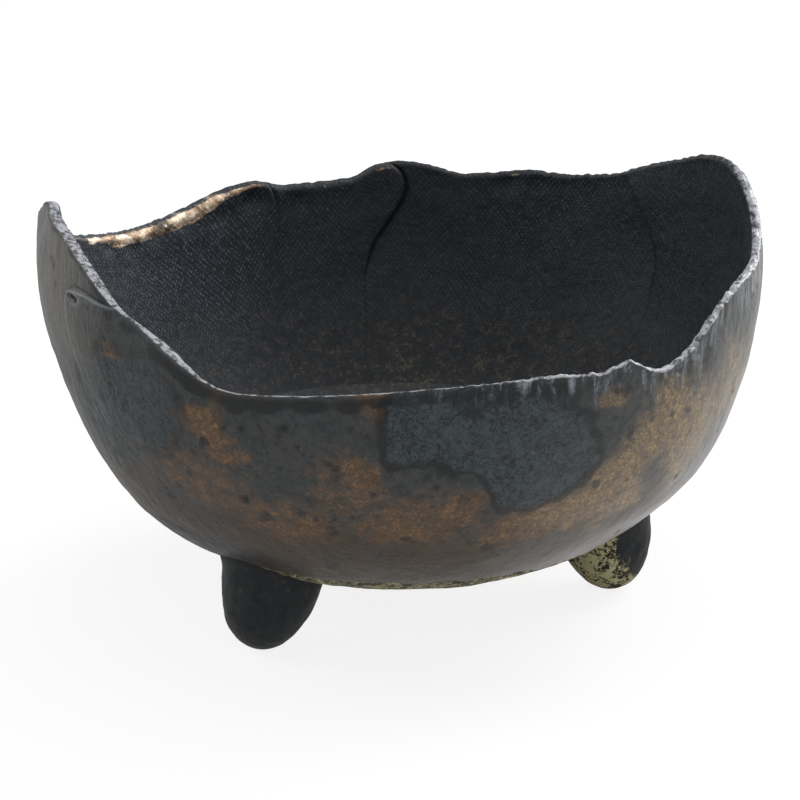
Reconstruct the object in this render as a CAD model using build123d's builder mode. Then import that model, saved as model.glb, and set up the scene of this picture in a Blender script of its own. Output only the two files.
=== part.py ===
from build123d import *

import os
from math import acos, atan2, cos, hypot, radians, sin, sqrt

# Footed bowl of six overlapping clay slabs on a round floor disc, with three hand-rolled feet.
# Millimetres. +Z is up, -Y is the front, the feet stand on Z = 0 and the bowl's axis is Z.
# Angles are in degrees anticlockwise from +X, seen from above. Each wall slab is a curved sheet
# between two radial edges. Where two slabs meet, one runs on past the joint and laps the other.

# ---- driving dimensions -------------------------------------------------------------------
BELLY_RADIUS = 121.0  # outer radius at the widest level
BELLY_HEIGHT = 120.0  # widest level above the table
BOTTOM_HEIGHT = 12.0  # underside of the floor above the table, on the axis
SIDE_FULLNESS = 1.16  # radius of the side's arc, as a share of the depth below the belly
BOTTOM_FULLNESS = 1.67  # radius of the bottom's arc, as a share of the same depth
CHINE_RADIUS = 70.0  # arc that turns the bottom into the side
CROWN_RADIUS = 100.0  # arc that turns inwards above the belly
CROWN_MARGIN = 12.0  # how far the uncut shell stands above the highest rim
WALL = 5.0  # thickness of every slab
LAP_THICKNESS = 2.6  # thickness of a slab where it laps over its neighbour
LAP_ROOT = 4.0  # degrees that a lap starts back inside its own slab
FLOOR_RADIUS = 80.0  # outer edge of the floor disc's full thickness
FLOOR_LAP = 8.0  # how far the floor's inner half runs over the wall slabs
FOOT_CIRCLE = 72.0  # radius of the circle that the feet stand on
FOOT_LEAN = 2.0  # how far a foot's top sits inside that circle
FOOT_PAD_RADIUS = 5.0  # worn flat under each foot
FOOT_TOP_RADIUS = 17.0
FOOT_SECTIONS = 5  # circles that a foot is lofted through
FOOT_ANGLES = {"foot_front": 231.0, "foot_right": 356.0, "foot_back": 113.0}

# Each wall slab: start and end of its own sector, and its rim as (angle, height above belly).
SLABS = {
    "wall_front": (216, 306, [(209, 18), (216, 12), (222, 5), (229, 1), (240, -12), (255, -11), (306, -8)]),
    "wall_right": (306, 406, [(306, -8), (314, -13), (336, 4), (350, 5), (377, 21), (406, 3), (411, 0)]),
    "wall_back": (46, 97, [(46, 2), (55, -3), (65, -5), (79, -9), (85, -5), (90, -4), (97, -7)]),
    "wall_back_left": (97, 115, [(89, -4), (97, -8), (106, -11), (115, -9)]),
    "wall_left": (115, 168, [(111, -10), (115, -9), (125, -10), (138, -16), (152, -13), (168, -2)]),
    "wall_tip": (168, 216, [(162, -8), (168, -2), (180, 11), (194, 25), (206, 20), (216, 12)]),
}

# Each lap: the joint that it crosses, how many degrees it runs on, how far below the belly its
# free edge comes down, and whether it lies inside or outside the neighbour.
LAPS = {
    "wall_back_left": (97, -8, 40, "inside"),
    "wall_right": (406, 5, 44, "inside"),
    "wall_left": (115, -4, 42, "inside"),
    "wall_tip": (168, -6, 46, "inside"),
    "wall_front": (216, -7, 24, "outside"),
}

# ---- profile ------------------------------------------------------------------------------
# The outer surface is three arcs below the belly, tangent to each other, and one above it.
BELLY_DEPTH = BELLY_HEIGHT - BOTTOM_HEIGHT
SIDE_RADIUS = SIDE_FULLNESS * BELLY_DEPTH
BOTTOM_RADIUS = BOTTOM_FULLNESS * BELLY_DEPTH
SIDE_CENTRE = (BELLY_RADIUS - SIDE_RADIUS, BELLY_HEIGHT)
BOTTOM_CENTRE = (0.0, BOTTOM_HEIGHT + BOTTOM_RADIUS)
CROWN_CENTRE = (BELLY_RADIUS - CROWN_RADIUS, BELLY_HEIGHT)
CROWN_RISE = CROWN_MARGIN + max(height for slab in SLABS.values() for _, height in slab[2])
OUTSIDE = 2 * (BELLY_RADIUS + BELLY_HEIGHT)  # reach of a blank that clears the whole bowl


def chine_centre():
    """Centre of the arc that touches both the side's arc and the bottom's arc from inside."""
    to_side = SIDE_RADIUS - CHINE_RADIUS
    to_bottom = BOTTOM_RADIUS - CHINE_RADIUS
    across = SIDE_CENTRE[0] - BOTTOM_CENTRE[0]
    down = SIDE_CENTRE[1] - BOTTOM_CENTRE[1]
    apart = hypot(across, down)
    corner = acos((apart**2 + to_bottom**2 - to_side**2) / (2 * apart * to_bottom))
    turn = atan2(down, across) + corner
    return (BOTTOM_CENTRE[0] + to_bottom * cos(turn), BOTTOM_CENTRE[1] + to_bottom * sin(turn))


CHINE_CENTRE = chine_centre()


def beyond(centre, through, radius):
    """Point at radius from centre, in the direction of the point through."""
    across = through[0] - centre[0]
    up = through[1] - centre[1]
    share = radius / hypot(across, up)
    return (centre[0] + across * share, centre[1] + up * share)


def outline(inset):
    """Edges around the half section inside the surface that lies inset inside the outer one."""
    low = (0, BOTTOM_HEIGHT + inset)
    chine_start = beyond(BOTTOM_CENTRE, CHINE_CENTRE, BOTTOM_RADIUS - inset)
    chine_end = beyond(SIDE_CENTRE, CHINE_CENTRE, SIDE_RADIUS - inset)
    belly = (BELLY_RADIUS - inset, BELLY_HEIGHT)
    crown_reach = sqrt((CROWN_RADIUS - inset) ** 2 - CROWN_RISE**2)
    crown = (CROWN_CENTRE[0] + crown_reach, BELLY_HEIGHT + CROWN_RISE)
    with BuildLine() as section:
        RadiusArc(low, chine_start, -(BOTTOM_RADIUS - inset))
        RadiusArc(chine_start, chine_end, -(CHINE_RADIUS - inset))
        RadiusArc(chine_end, belly, -(SIDE_RADIUS - inset))
        RadiusArc(belly, crown, -(CROWN_RADIUS - inset))
        Polyline(crown, (0, crown[1]), low)
    return section.edges()


OUTER = outline(0)
MIDDLE = outline(WALL / 2)
INNER = outline(WALL)
LAP_INSIDE = outline(WALL + LAP_THICKNESS)
LAP_OUTSIDE = outline(-LAP_THICKNESS)


def underside_height(radius):
    """Height of the outer surface above the table at a radius on the bottom or the chine."""
    if radius < beyond(BOTTOM_CENTRE, CHINE_CENTRE, BOTTOM_RADIUS)[0]:
        return BOTTOM_CENTRE[1] - sqrt(BOTTOM_RADIUS**2 - radius**2)
    return CHINE_CENTRE[1] - sqrt(CHINE_RADIUS**2 - (radius - CHINE_CENTRE[0]) ** 2)


def radial_plane(angle):
    """Plane that holds the axis, with its x outwards at this angle and its y up."""
    out = (cos(radians(angle)), sin(radians(angle)), 0)
    return Plane(origin=(0, 0, 0), x_dir=out, z_dir=(out[1], -out[0], 0))


def facing_plane(angle):
    """Plane across the axis, facing outwards at this angle, with its y up."""
    out = (cos(radians(angle)), sin(radians(angle)), 0)
    return Plane(origin=(0, 0, 0), x_dir=(-out[1], out[0], 0), z_dir=out)


# ---- floor disc ---------------------------------------------------------------------------
# Full thickness out to its edge, then a rebate whose inner half laps over the wall slabs.
with BuildPart() as floor_disc:
    with BuildSketch(radial_plane(0)):
        make_face(MIDDLE)
        make_face(INNER, mode=Mode.SUBTRACT)
        Rectangle(FLOOR_RADIUS + FLOOR_LAP, BELLY_HEIGHT, align=Align.MIN, mode=Mode.INTERSECT)
    revolve(axis=Axis.Z)
    with BuildSketch(radial_plane(0)):
        make_face(OUTER)
        make_face(INNER, mode=Mode.SUBTRACT)
        Rectangle(FLOOR_RADIUS, BELLY_HEIGHT, align=Align.MIN, mode=Mode.INTERSECT)
    revolve(axis=Axis.Z)


# ---- wall slabs ---------------------------------------------------------------------------
def lap_sheet(joint, reach, drop, side, rim):
    """Leaf-shaped tongue that crosses a joint, widest at the rim and rounded at its foot."""
    back = -LAP_ROOT if reach > 0 else LAP_ROOT
    start = min(joint + back, joint + 2 * reach)
    outer, inner = (INNER, LAP_INSIDE) if side == "inside" else (LAP_OUTSIDE, OUTER)
    leaf_width = BELLY_RADIUS * sin(radians(abs(reach)))
    with BuildPart() as sheet:
        with BuildSketch(radial_plane(start)):
            make_face(outer)
            make_face(inner, mode=Mode.SUBTRACT)
        revolve(axis=Axis.Z, revolution_arc=2 * abs(reach) + LAP_ROOT)
        with BuildSketch(facing_plane(joint)):
            with Locations((0, BELLY_HEIGHT + rim)):
                Ellipse(leaf_width, rim + drop)
        extrude(amount=OUTSIDE, mode=Mode.INTERSECT)
    return sheet.part


def wall_slab(start, end, rim, lap):
    """Sector of the shell outside the floor disc, with its lap, cut down to its own rim."""
    middle = (start + end) / 2
    rim_line = [(BELLY_RADIUS * sin(radians(a - middle)), BELLY_HEIGHT + h) for a, h in rim]
    with BuildPart() as slab:
        with BuildSketch(radial_plane(start)):
            make_face(OUTER)
            make_face(INNER, mode=Mode.SUBTRACT)
        revolve(axis=Axis.Z, revolution_arc=end - start)
        add(floor_disc.part, mode=Mode.SUBTRACT)
        if lap:
            joint_rim = next(height for angle, height in rim if angle == lap[0])
            add(lap_sheet(*lap, joint_rim))
        with BuildSketch(facing_plane(middle)):
            with BuildLine():
                Spline(*rim_line)
                Polyline(
                    rim_line[-1],
                    (OUTSIDE, rim_line[-1][1]),
                    (OUTSIDE, OUTSIDE),
                    (-OUTSIDE, OUTSIDE),
                    (-OUTSIDE, rim_line[0][1]),
                    rim_line[0],
                )
            make_face()
        extrude(amount=OUTSIDE, mode=Mode.SUBTRACT)
    return slab.part


walls = {}
for name, (start, end, rim) in SLABS.items():
    walls[name] = wall_slab(start, end, rim, LAPS.get(name))


# ---- feet ---------------------------------------------------------------------------------
def foot(angle):
    """Blunt cone with a quarter-ellipse side, its top cut to the bowl's underside."""
    height = underside_height(FOOT_CIRCLE)
    top = underside_height(FOOT_CIRCLE + FOOT_TOP_RADIUS)
    out = (cos(radians(angle)), sin(radians(angle)))
    with BuildPart() as cone:
        for step in range(FOOT_SECTIONS):
            share = step / (FOOT_SECTIONS - 1)
            reach = FOOT_CIRCLE - FOOT_LEAN * share
            swell = sin(radians(90 * share))
            with BuildSketch(Plane.XY.offset(height * share)):
                with Locations((reach * out[0], reach * out[1])):
                    Circle(FOOT_PAD_RADIUS + (FOOT_TOP_RADIUS - FOOT_PAD_RADIUS) * swell)
        loft()
        extrude(cone.faces().sort_by(Axis.Z)[-1], amount=top)
        with BuildSketch(radial_plane(angle)):
            make_face(OUTER)
        revolve(axis=Axis.Z, mode=Mode.SUBTRACT)
    return cone.part


feet = {name: foot(angle) for name, angle in FOOT_ANGLES.items()}

# ---- export -------------------------------------------------------------------------------
os.makedirs("parts", exist_ok=True)
floor_disc.part.label = "floor_disc"
export_step(floor_disc.part, "parts/floor_disc.step")
for name, piece in {**walls, **feet}.items():
    piece.label = name
    export_step(piece, f"parts/{name}.step")
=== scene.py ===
import math

import bpy
import numpy as np
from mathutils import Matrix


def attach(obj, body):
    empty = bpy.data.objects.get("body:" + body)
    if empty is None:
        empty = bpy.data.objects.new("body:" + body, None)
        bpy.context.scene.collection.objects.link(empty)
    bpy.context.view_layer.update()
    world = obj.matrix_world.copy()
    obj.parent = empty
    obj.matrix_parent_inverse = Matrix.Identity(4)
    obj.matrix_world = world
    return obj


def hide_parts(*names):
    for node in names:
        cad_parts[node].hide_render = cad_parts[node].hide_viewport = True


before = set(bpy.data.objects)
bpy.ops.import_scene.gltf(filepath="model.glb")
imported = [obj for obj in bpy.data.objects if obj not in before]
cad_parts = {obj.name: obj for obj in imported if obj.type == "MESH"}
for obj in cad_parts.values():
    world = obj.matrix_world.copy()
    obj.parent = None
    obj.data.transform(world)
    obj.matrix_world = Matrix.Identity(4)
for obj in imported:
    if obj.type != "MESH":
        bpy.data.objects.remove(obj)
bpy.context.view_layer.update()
print("frame loaded:", len(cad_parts), "nodes")

mm = 0.001  # shapes are worked out in millimetres and stored in metres
rootBody = "root"

# The bowl's shell, shared by every slab.

bowl = {
    "bellyRadius": 121.0,
    "bellyHeight": 120.0,
    "bottomHeight": 12.0,
    "sideFullness": 1.16,  # side arc's radius as a share of the depth below the belly
    "bottomFullness": 1.67,
    "chineRadius": 70.0,
    "crownRadius": 100.0,
    "crownAngle": 27.0,  # how far the crown's arc is followed, in degrees
    "wall": 5.0,
    "floorRadius": 80.0,  # where the walls end on the floor, on the outer face
    "innerFloorRadius": 83.0,
    "arcPoints": 500,
}


def meridianOf(b):
    # Half section of the outer surface: four circle arcs, each tangent to the next, walked from
    # the axis at the bottom to the crown. Arc length is the sum of radius times angle step.
    depth = b["bellyHeight"] - b["bottomHeight"]
    sideRadius = b["sideFullness"] * depth
    bottomRadius = b["bottomFullness"] * depth
    side = np.array([b["bellyRadius"] - sideRadius, b["bellyHeight"]])
    bottom = np.array([0.0, b["bottomHeight"] + bottomRadius])
    crown = np.array([b["bellyRadius"] - b["crownRadius"], b["bellyHeight"]])
    toSide = sideRadius - b["chineRadius"]
    toBottom = bottomRadius - b["chineRadius"]
    gap = side - bottom
    apart = np.hypot(*gap)
    corner = math.acos((apart**2 + toBottom**2 - toSide**2) / (2 * apart * toBottom))
    low = math.atan2(gap[1], gap[0]) + corner  # direction where bottom and chine touch
    chine = bottom + toBottom * np.array([math.cos(low), math.sin(low)])
    high = math.atan2(chine[1] - side[1], chine[0] - side[0])  # where chine and side touch
    arcs = [
        (bottom, bottomRadius, -math.pi / 2, low),
        (chine, b["chineRadius"], low, high),
        (side, sideRadius, high, 0.0),
        (crown, b["crownRadius"], 0.0, math.radians(b["crownAngle"])),
    ]
    count = b["arcPoints"]
    turn = np.concatenate([np.linspace(a, z, count) for _, _, a, z in arcs])
    centre = np.concatenate([np.tile(c, (count, 1)) for c, _, _, _ in arcs])
    radius = np.concatenate([np.full(count, r) for _, r, _, _ in arcs])
    points = centre + radius[:, None] * np.stack([np.cos(turn), np.sin(turn)], 1)
    steps = np.hypot(*np.diff(points, axis=0).T)
    return {
        "arc": np.concatenate([[0.0], np.cumsum(steps)]),
        "radius": points[:, 0],
        "height": points[:, 1],
        "turn": turn,
    }


meridian = meridianOf(bowl)


def arcAtHeight(height):
    # arc length at which the outer surface reaches this height
    return np.interp(height, meridian["height"], meridian["arc"])


def arcAtRadius(radius):
    # arc length below the belly at which the outer surface reaches this radius
    lower = meridian["height"] <= bowl["bellyHeight"]
    return np.interp(radius, meridian["radius"][lower], meridian["arc"][lower])


def turnFrom(centre, azimuth):
    # degrees from centre to azimuth, the short way round
    return (azimuth - centre + 180) % 360 - 180


def alongWall(centre, azimuth, radius):
    # distance around the bowl from centre to azimuth, at this radius
    return np.radians(turnFrom(centre, azimuth)) * radius


def onShell(arc, azimuth, inset):
    # Point at an arc length and azimuth, moved inwards by inset along the outward normal.
    # Returns the point and that normal.
    radius = np.interp(arc, meridian["arc"], meridian["radius"])
    height = np.interp(arc, meridian["arc"], meridian["height"])
    turn = np.interp(arc, meridian["arc"], meridian["turn"])
    around = np.radians(azimuth)
    normal = np.stack([np.cos(turn) * np.cos(around), np.cos(turn) * np.sin(around), np.sin(turn)], -1)
    outer = np.stack([radius * np.cos(around), radius * np.sin(around), height + 0 * around], -1)
    return outer - inset[..., None] * normal, normal


# Seeded randomness.


def lattice(points, cell, seed):
    # Value noise from -1 to 1: random numbers on a repeating lattice, blended by smoothstep.
    size = 32
    table = np.random.default_rng(seed).uniform(-1, 1, (size, size, size))
    scaled = points / cell + 1000.5
    whole = np.floor(scaled).astype(int)
    part = scaled - whole
    part = part * part * (3 - 2 * part)
    total = np.zeros(points.shape[:-1])
    for corner in np.ndindex(2, 2, 2):
        weight = np.ones(points.shape[:-1])
        for axis in range(3):
            weight = weight * (part[..., axis] if corner[axis] else 1 - part[..., axis])
        index = [(whole[..., axis] + corner[axis]) % size for axis in range(3)]
        total = total + weight * table[index[0], index[1], index[2]]
    return total


def rough(points, cell, seed, octaves=3):
    # Sum of value noises, each half the cell and half the height of the one before.
    total = np.zeros(points.shape[:-1])
    for octave in range(octaves):
        total = total + lattice(points, cell / 2**octave, seed + octave) / 2**octave
    return total / (2 - 2 ** (1 - octaves))


def ease(value, low, high):
    # smoothstep from 0 at low to 1 at high
    share = np.clip((value - low) / (high - low), 0, 1)
    return share * share * (3 - 2 * share)


def bell(value, width):
    # bell curve, 1 at zero
    return np.exp(-((value / width) ** 2))


# The torn rim.

# Azimuth, height, thickness, how far down the edge is rounded, and how ragged it is.
# Millimetres, anticlockwise from the right, seen from above.
rimLine = [
    (2, 135.5, 3.4, 1.2, 0.55),
    (10, 140.3, 3.4, 1.2, 0.5),
    (17, 141.6, 3.2, 1.2, 0.5),
    (25.5, 138.5, 3.2, 1.2, 0.4),
    (33.5, 132.4, 3.2, 1.2, 0.4),
    (41.5, 126.2, 3.4, 1.2, 0.4),
    (48.5, 119.9, 3.2, 1.2, 0.4),
    (55, 116.8, 3.2, 1.2, 0.45),
    (60, 115.0, 3.4, 1.2, 0.45),
    (66, 115.5, 4.0, 1.6, 0.35),
    (72, 113.2, 4.2, 1.8, 0.3),
    (79.5, 111.2, 3.4, 1.4, 0.3),
    (84, 114.2, 3.2, 1.4, 0.25),
    (90, 116.0, 3.8, 1.6, 0.25),
    (95, 114.6, 4.2, 1.8, 0.2),
    (97.6, 110.0, 4.4, 2.0, 0.25),
    (104, 108.8, 5.0, 2.4, 0.3),
    (112.5, 108.8, 5.0, 2.4, 0.3),
    (115.5, 112.0, 4.6, 1.8, 0.4),
    (120, 111.5, 5.0, 2.4, 0.35),
    (125, 109.6, 6.4, 3.4, 0.35),
    (132, 105.8, 6.6, 3.6, 0.4),
    (139, 104.5, 6.4, 3.6, 0.4),
    (146, 104.9, 6.4, 3.4, 0.35),
    (153, 107.4, 6.0, 3.0, 0.4),
    (160, 111.4, 5.0, 2.0, 0.5),
    (170, 119.0, 4.6, 1.2, 0.4),
    (182, 133.0, 4.8, 0.9, 0.4),
    (190, 141.6, 4.8, 0.8, 0.5),
    (193.4, 145.4, 4.0, 0.9, 0.3),
    (196, 142.6, 4.8, 0.7, 0.5),
    (204.5, 140.4, 4.8, 0.7, 0.55),
    (209, 137.6, 4.6, 0.7, 0.5),
    (214.5, 133.3, 4.4, 0.7, 0.4),
    (219, 128.4, 4.2, 0.7, 0.35),
    (222, 125.2, 2.6, 0.8, 0.5),
    (224, 124.3, 1.3, 0.6, 0.2),
    (227, 122.3, 1.7, 0.6, 0.15),
    (231, 118.8, 4.6, 0.7, 0.25),
    (234.5, 114.8, 4.3, 0.7, 0.3),
    (238, 110.2, 1.8, 0.6, 0.2),
    (240.5, 107.6, 1.4, 0.7, 0.12),
    (244.5, 106.5, 1.3, 0.8, 0.1),
    (255, 108.4, 1.3, 0.8, 0.08),
    (265.5, 110.6, 1.3, 0.8, 0.1),
    (275, 112.3, 1.3, 0.8, 0.15),
    (284.5, 113.1, 1.4, 0.8, 0.3),
    (291, 113.4, 1.6, 0.8, 0.55),
    (297, 112.8, 1.8, 0.8, 0.6),
    (301, 111.2, 1.8, 0.8, 0.5),
    (304.5, 112.4, 1.8, 0.8, 0.4),
    (307, 114.2, 1.8, 0.7, 0.3),
    (309.5, 110.0, 2.0, 0.8, 0.4),
    (314, 106.4, 2.2, 0.8, 0.5),
    (317, 107.8, 2.2, 0.8, 0.6),
    (321.5, 111.8, 2.2, 0.8, 0.8),
    (325.5, 117.0, 2.4, 0.8, 0.8),
    (330, 121.6, 2.6, 0.9, 0.8),
    (336, 124.6, 2.8, 0.9, 0.8),
    (343.5, 124.4, 3.0, 1.0, 0.8),
    (350, 125.0, 3.2, 1.0, 0.7),
    (356, 129.4, 3.4, 1.1, 0.6),
]
rimShape = {
    "taper": 15.0,  # depth over which the wall reaches its full thickness
    "smoothing": 1.1,
    "tornCell": 2.6, "nibbleCell": 1.1, "tornScale": 1.25,
    "crumbCell": 1.9, "crumb": 0.55, "crumbDepth": 0.9,
}


def rimColumns(line):
    # Each column as a smooth closed curve: straight runs between the points, then a running
    # average with a bell-shaped weight, both around the full circle.
    points = np.array(line)
    fine = np.arange(0, 360, 0.1)
    wave = np.fft.rfftfreq(fine.size, 0.1)
    weight = np.exp(-2 * (math.pi * wave * rimShape["smoothing"]) ** 2)
    columns = [np.interp(fine, points[:, 0], points[:, k], period=360) for k in range(1, 5)]
    return fine, [np.fft.irfft(np.fft.rfft(column) * weight, fine.size) for column in columns]


rimAngles, rimSmooth = rimColumns(rimLine)


def rimAt(azimuth, column):
    return np.interp(azimuth, rimAngles, rimSmooth[column], period=360)


def rimArc(azimuth):
    # Arc length of the rim's ridge: its smooth height, plus torn noise read around a circle.
    around = np.radians(azimuth)
    circle = bowl["bellyRadius"] * np.stack([np.cos(around), np.sin(around), 0 * around], -1)
    torn = rough(circle, rimShape["tornCell"], 11, 2)
    torn = torn + 0.5 * lattice(circle, rimShape["nibbleCell"], 17)
    height = rimAt(azimuth, 0) + rimShape["tornScale"] * rimAt(azimuth, 3) * torn
    return arcAtHeight(height)


# The joints between the slabs.

# Each joint's edge on the outer and the inner face, as (millimetres below the rim, degrees past
# the joint) pairs, and the height of the lapping slab's step at its edge, as (millimetres below
# the rim, millimetres) pairs. side says which face shows the step, and laps which way from the
# edge the lapping slab lies: 1 towards larger angles.
joints = {
    "tipFront": {
        "angle": 216,
        "outer": [
            (0, 5.5), (2, 4.0), (6, -1.0), (10, -5.5), (14, -7.0),
            (35, -6.5), (46, -2), (60, 0), (150, 0),
        ],
        "inner": [(0, 5.5), (4, 3.0), (12, 0), (150, 0)],
        "step": [(0, 0.3), (4, 1.0), (9, 2.1), (24, 1.9), (38, 0.8), (50, 0.0), (150, 0)],
        "side": "outer", "laps": 1,
    },
    "frontRight": {
        "angle": 306,
        "outer": [(0, 1), (20, 0), (150, 0)],
        "inner": [(0, 1), (20, 0), (150, 0)],
        "step": [(0, 0), (150, 0)],
        "side": "inner", "laps": 1,
    },
    "rightBack": {
        "angle": 46,
        "outer": [(0, 1.5), (10, 0), (150, 0)],
        "inner": [(0, 1.5), (6, -1.0), (20, -5.5), (36, -9.5), (60, -10), (75, -6), (150, -2)],
        "step": [(0, 0.9), (5, 1.9), (30, 2.0), (44, 1.2), (60, 0.0), (150, 0)],
        "side": "inner", "laps": -1,
    },
    "backLeft": {
        "angle": 97,
        "outer": [(0, -5.0), (6, -1.0), (14, 0), (150, 0)],
        "inner": [
            (0, -5.0), (3, -7.2), (9, -8.2), (15, -7.4),
            (22, -5.0), (30, -1.8), (40, 0), (150, 0),
        ],
        "step": [(0, 1.6), (4, 2.4), (18, 2.4), (28, 1.3), (38, 0.2), (46, 0), (150, 0)],
        "side": "inner", "laps": 1,
    },
    "leftInner": {
        "angle": 115,
        "outer": [(0, -0.6), (10, 0), (150, 0)],
        "inner": [(0, -0.6), (4, -1.8), (16, -2.4), (30, -1), (44, 0), (150, 0)],
        "step": [(0, 1.0), (8, 0.6), (18, 0.2), (30, 0.0), (150, 0)],
        "side": "inner", "laps": 1,
    },
    "leftTip": {
        "angle": 168,
        "outer": [(0, -2.0), (10, 0), (150, 0)],
        "inner": [(0, -2.0), (6, -4.5), (24, -4.0), (46, 0), (150, 0)],
        "step": [(0, 0.8), (8, 1.6), (30, 1.2), (46, 0.0), (150, 0)],
        "side": "inner", "laps": 1,
    },
}
lapShape = {"edge": 1.1, "root": 24.0, "groove": 0.45, "grooveWidth": 0.9, "smoothing": 2.0}


def softly(pairs, depth):
    # Value at a depth below the rim: straight runs between the pairs, rounded by a bell-weighted
    # average that keeps the value at the rim.
    table = np.array(pairs, float)
    fine = np.arange(0, 151, 0.5)
    plain = np.interp(fine, table[:, 0], table[:, 1])
    span = np.arange(-10, 10.5, 0.5)
    weight = bell(span, lapShape["smoothing"])
    padded = np.concatenate([np.full(20, plain[0]), plain, np.full(20, plain[-1])])
    smooth = np.convolve(padded, weight / weight.sum(), "valid")
    keep = bell(fine, 1.5)
    return np.interp(depth, fine, plain * keep + smooth * (1 - keep))


def edgeAngle(joint, side, depth):
    return joint["angle"] + softly(joint[side], depth)


# Where the wall hangs fuller than its neighbours: azimuth, height, half widths, millimetres out.
fuller = [(326, 62, 26, 22, 2.5), (196, 88, 22, 26, -1.2)]
fullerFrom = (38, 56)  # heights between which it fades in


def fullness(azimuth, height):
    # how far the whole wall is pushed out, as a sum of bells that ends above the floor's lap
    total = np.zeros(azimuth.shape)
    for centre, level, wide, tall, out in fuller:
        across = turnFrom(centre, azimuth) / wide
        total = total + out * bell(np.hypot(across, (height - level) / tall), 1.0)
    return total * ease(height, *fullerFrom)


def pastEdge(joint, side, azimuth, depth):
    # millimetres past a lap's free edge, positive on the lapping slab
    turn = turnFrom(edgeAngle(joint, side, depth), azimuth)
    return joint["laps"] * turn * math.pi / 180 * (bowl["bellyRadius"] - bowl["wall"])


def lapRelief(side, azimuth, depth):
    # Height of the lapping slabs: a quarter-round step at the free edge that dies away towards
    # the slab's own body, over a narrow groove that both slabs share.
    relief = np.zeros(azimuth.shape)
    for joint in joints.values():
        if joint["side"] == side:
            along = pastEdge(joint, side, azimuth, depth)
            step = softly(joint["step"], depth)
            share = np.clip(along / lapShape["edge"], 0, 1)
            quarter = np.sqrt(1 - (1 - share) ** 2)
            body = np.where(along > 0, quarter * bell(along, lapShape["root"]), 0)
            groove = lapShape["groove"] * bell(along, lapShape["grooveWidth"]) * np.clip(step, 0, 1)
            relief = relief + step * body - groove
    return relief


def lapEdgeLightAndShade(side, azimuth, depth, shift, width):
    # how close a point is to a band beside the laps' free edges, weighed by the step's height: the
    # painted highlight along the outer laps' edges and the painted shadow beside the inner ones
    wear = np.zeros(azimuth.shape)
    for joint in joints.values():
        if joint["side"] == side:
            along = pastEdge(joint, side, azimuth, depth)
            step = np.clip(softly(joint["step"], depth), 0, 1)
            wear = np.maximum(wear, bell(along - shift, width) * step)
    return wear


# Relief of the two faces.

outerFace = {
    "broadCell": 42.0, "broad": 0.75,
    "lumpCell": 13.0, "lump": 0.42,
    "fineCell": 3.4, "fine": 0.10,
    "wrinkleCell": 4.2, "wrinkle": 0.22,
    "strandCell": (1.7, 16.0), "strand": 0.16, "strandRadius": 110,
    "strandTurn": 205, "strandSpread": 26,
    "fluteCell": (3.4, 14), "flute": 0.95, "fluteDepth": 9.0, "fluteRadius": 121,
    "fluteTurn": 322, "fluteSpread": (0.62, 0.9),  # cosines of the turn, none to all
}
# Pits in the glaze: azimuth, height, radius, depth.
pitRadius = 118  # the wall's radius where most of them are
pits = [
    (252.5, 97.7, 1.5, 0.9), (245.5, 95.4, 1.0, 0.6), (242.5, 95.0, 0.8, 0.5), (244, 69, 1.5, 0.8),
    (262.5, 99.5, 1.2, 0.35), (278, 83, 1.7, 0.7), (275.5, 78.7, 1.1, 0.5), (266, 76, 0.8, 0.5),
    (254.5, 92, 0.8, 0.5), (312, 92, 0.9, 0.4), (258, 62, 0.7, 0.4), (236, 84, 0.8, 0.4),
]
strayPits = {"count": 90, "radius": (0.5, 1.0), "depth": (0.12, 0.4)}


def allPits():
    # the chosen pits, then small stray ones scattered over the whole outside
    rng = np.random.default_rng(5)
    count = strayPits["count"]
    strays = np.stack([
        rng.uniform(0, 360, count),
        rng.uniform(45, 120, count),
        rng.uniform(*strayPits["radius"], count),
        rng.uniform(*strayPits["depth"], count),
    ], 1)
    return np.concatenate([np.array(pits), strays])


pitList = allPits()


def warped(points, azimuth, height):
    # azimuth and height pushed about by noise, so that what is drawn with them has a natural edge
    shift = 3.0 * rough(points, 17.0, 61, 3) + 1.2 * rough(points, 4.0, 67, 2)
    lift = 6.0 * rough(points, 15.0, 71, 3) + 2.0 * rough(points, 4.0, 77, 2)
    return azimuth + shift, height + lift


def patches(spots, azimuth, height, solid=0.82, end=1.12):
    # Largest of several soft ellipses: azimuth, height, half widths in degrees and millimetres,
    # strength. Each is 1 out to solid, 0 past end, as shares of its half widths.
    total = np.zeros(azimuth.shape)
    for centre, level, wide, tall, strength in spots:
        across = turnFrom(centre, azimuth) / wide
        distance = np.hypot(across, (height - level) / tall)
        total = np.maximum(total, strength * (1 - ease(distance, solid, end)))
    return total


# Where the glaze crawled into blue-grey wrinkles.
slateSpots = [
    (281, 103, 15, 13, 1.0), (292, 85, 10, 19, 1.0), (273, 99, 6.5, 14, 1.0), (284, 92, 9, 12, 1.0),
    (226, 96, 10, 20, 0.6), (214, 84, 8, 24, 0.45), (256, 99, 9, 10, 0.35), (247, 82, 6, 12, 0.3),
    (14, 92, 9, 14, 0.7), (24, 84, 12, 11, 0.8), (33, 95, 7, 9, 0.6), (70, 80, 8, 10, 0.7),
    (79, 70, 10, 9, 0.6), (86, 84, 6, 12, 0.5), (120, 90, 9, 8, 0.6), (132, 82, 11, 10, 0.7),
    (141, 92, 6, 8, 0.5), (163, 98, 8, 14, 0.5), (172, 84, 9, 12, 0.6),
]
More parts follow.
